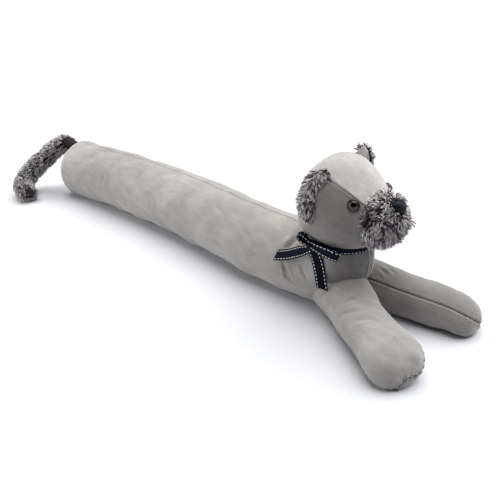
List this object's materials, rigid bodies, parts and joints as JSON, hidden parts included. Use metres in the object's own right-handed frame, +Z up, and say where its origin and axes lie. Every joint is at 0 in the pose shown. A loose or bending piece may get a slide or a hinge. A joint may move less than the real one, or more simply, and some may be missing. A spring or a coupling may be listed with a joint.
{
  "type": "draught excluder",
  "caption": "Stuffed draught excluder shaped as a lying dog: a long suede tube with head and forelegs, fur muzzle, ears and tail, and a stitched ribbon bow at the neck.",
  "frame": {"origin": "bottom centre of the bounding box, on the floor", "axes": "+X along the body from tail to head, the way the dog looks; +Y to the dog's left; +Z up"},
  "size_m": [0.9236, 0.2254, 0.2198],
  "materials": {
    "suede": "brushed, matt",
    "fur": "long pile, dark roots and pale tips",
    "ribbon": "ribbed, with pale saddle stitching",
    "eye_plastic": "glossy",
    "nose_plastic": "satin"
  },
  "bodies": {
    "root": {"torso": "suede", "head": "suede", "foreleg_right": "suede", "foreleg_left": "suede", "muzzle": "fur", "ear_right": "fur", "ear_left": "fur", "tail": "fur", "eye_right": "eye_plastic", "eye_left": "eye_plastic", "nose": "nose_plastic", "collar": "ribbon", "bow_knot": "ribbon", "bow_loop_back": "ribbon", "bow_loop_front": "ribbon", "bow_end_back": "ribbon", "bow_end_front": "ribbon"}
  },
  "joints": []
}
